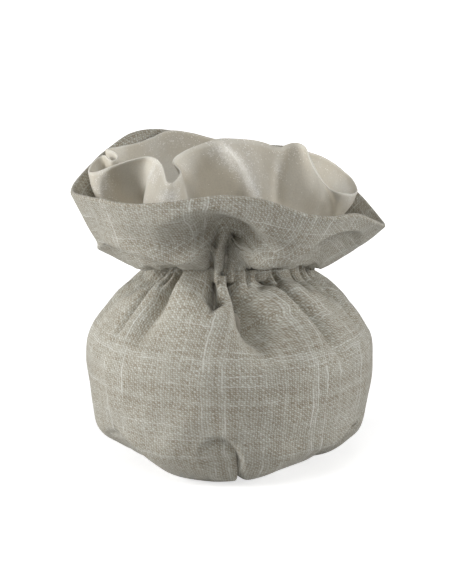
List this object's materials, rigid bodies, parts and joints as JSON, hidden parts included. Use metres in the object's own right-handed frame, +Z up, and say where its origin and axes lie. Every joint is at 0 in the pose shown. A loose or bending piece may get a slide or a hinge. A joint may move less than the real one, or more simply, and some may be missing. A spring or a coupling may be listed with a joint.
{
  "type": "round pouch",
  "caption": "Small round linen pouch with an elastic gathered neck, a flared double ruffle and a shimmering organza frill around its open mouth.",
  "frame": {"origin": "on the surface that the pouch stands on, at the centre of the round patch under it", "axes": "+Z up through the mouth, -Y towards the front, where the ruffle is pinched, +X to the right seen from the front"},
  "size_m": [0.0975, 0.09, 0.1015],
  "materials": {
    "linen": "plain weave with slubs, matt",
    "organza": "sheer with a fine sparkle",
    "elastic": "flat braided elastic",
    "board": "plain pressed card"
  },
  "bodies": {
    "root": {"body_cloth": "linen", "base_patch": "linen", "base_board": "board", "neck_casing": "linen", "neck_elastic": "elastic", "ruffle_outer": "linen", "ruffle_facing": "linen", "organza_frill": "organza", "organza_lining": "organza"}
  },
  "joints": []
}
